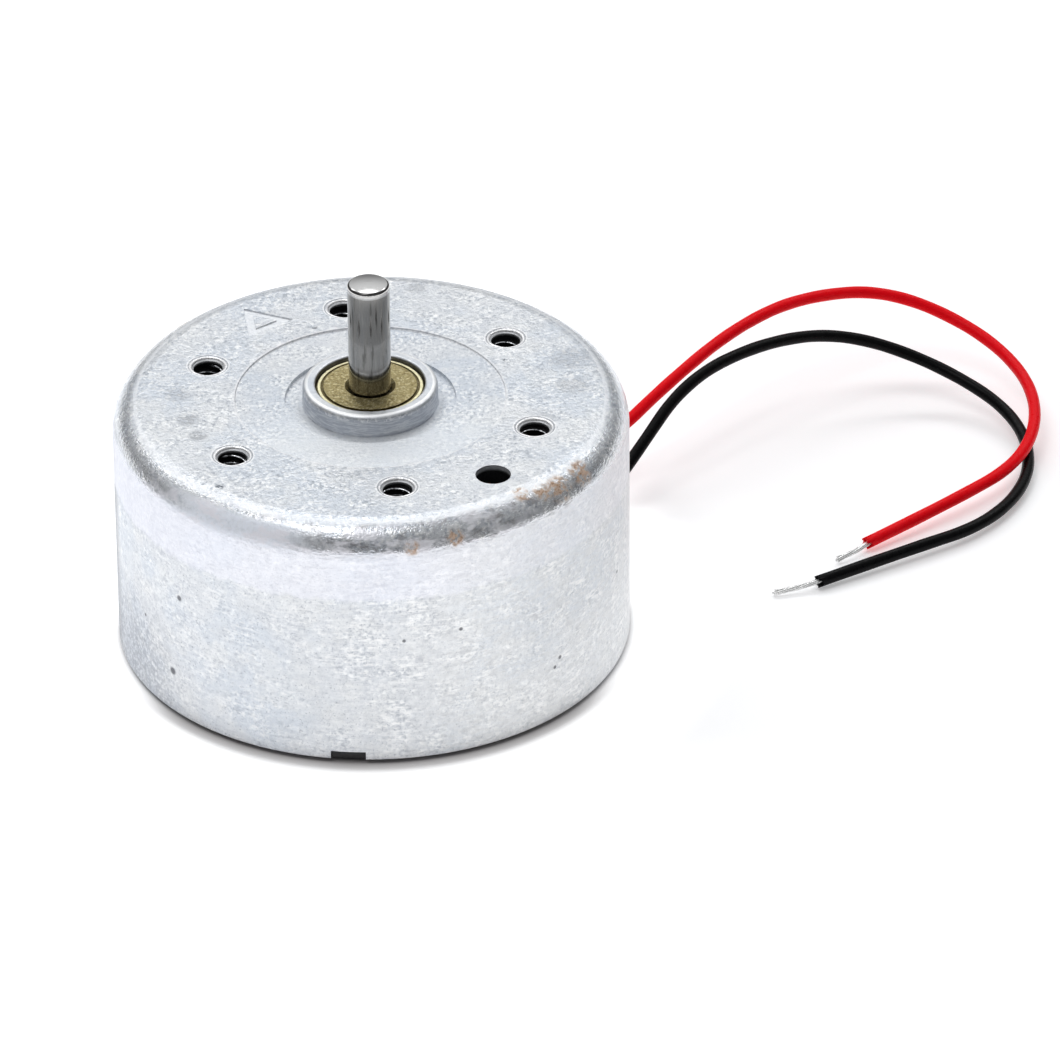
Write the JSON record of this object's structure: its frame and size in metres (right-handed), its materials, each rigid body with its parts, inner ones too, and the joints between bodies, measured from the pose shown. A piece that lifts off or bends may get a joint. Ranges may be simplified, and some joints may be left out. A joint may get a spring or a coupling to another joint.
{
  "type": "flat brushed dc motor",
  "caption": "Flat round brushed DC motor in a galvanised steel can, with a plain output shaft, tapped mounting holes in its front plate and two bare-ended leads.",
  "frame": {"origin": "centre of the rear resting face, on the shaft's axis", "axes": "+Z along the shaft, out of the mounting plate; the terminals and leads are on the +X+Y side"},
  "size_m": [0.0452, 0.036, 0.0189],
  "materials": {
    "zinc_steel": "galvanised, speckled, light scuffs and rust specks at one edge",
    "polished_steel": "ground and polished",
    "sintered_bronze": "matt, granular",
    "black_plastic": "moulded, fine texture",
    "washer_steel": "stamped, plain",
    "magnet": "rubber-bonded ferrite, matt",
    "core_steel": "silicon steel, punched",
    "insulator": "moulded nylon",
    "copper_wire": "enamelled",
    "copper": "turned copper",
    "varistor": "fired, electroded face",
    "spring_bronze": "rolled strip",
    "rubber_pad": "soft, matt",
    "tinned": "tinned strip and strands",
    "solder": "bright, slightly wavy",
    "red_pvc": "extruded, satin gloss",
    "black_pvc": "extruded, satin gloss"
  },
  "bodies": {
    "stator": {"can": "zinc_steel", "front_bearing": "sintered_bronze", "rear_bearing": "sintered_bronze", "thrust_plate": "washer_steel", "end_cap": "black_plastic", "ring_magnet": "magnet", "lead_black": "black_pvc", "lead_red": "red_pvc", "lead_black_tip": "tinned", "lead_red_tip": "tinned", "terminal_a": "tinned", "terminal_solder_a": "solder", "brush_leaf_a": "spring_bronze", "brush_damper_a": "rubber_pad", "terminal_b": "tinned", "terminal_solder_b": "solder", "brush_leaf_b": "spring_bronze", "brush_damper_b": "rubber_pad"},
    "rotor": {"shaft": "polished_steel", "core_insulator_rear": "insulator", "core_insulator_front": "insulator", "commutator_sleeve": "black_plastic", "varistor_ring": "varistor", "spacer_sleeve": "spring_bronze", "front_washer_steel": "washer_steel", "front_washer_nylon": "insulator", "rear_washer": "insulator", "core_lamination_01": "core_steel", "core_lamination_02": "core_steel", "core_lamination_03": "core_steel", "core_lamination_04": "core_steel", "core_lamination_05": "core_steel", "core_lamination_06": "core_steel", "core_lamination_07": "core_steel", "core_lamination_08": "core_steel", "winding_1": "copper_wire", "winding_2": "copper_wire", "winding_3": "copper_wire", "commutator_segment_1": "copper", "commutator_segment_2": "copper", "commutator_segment_3": "copper"}
  },
  "joints": [
    {"name": "rotor_spin", "type": "hinge", "parent": "stator", "child": "rotor", "pos_m": [0, 0, 0.0127], "axis": [0, 0, 1], "continuous": true}
  ]
}
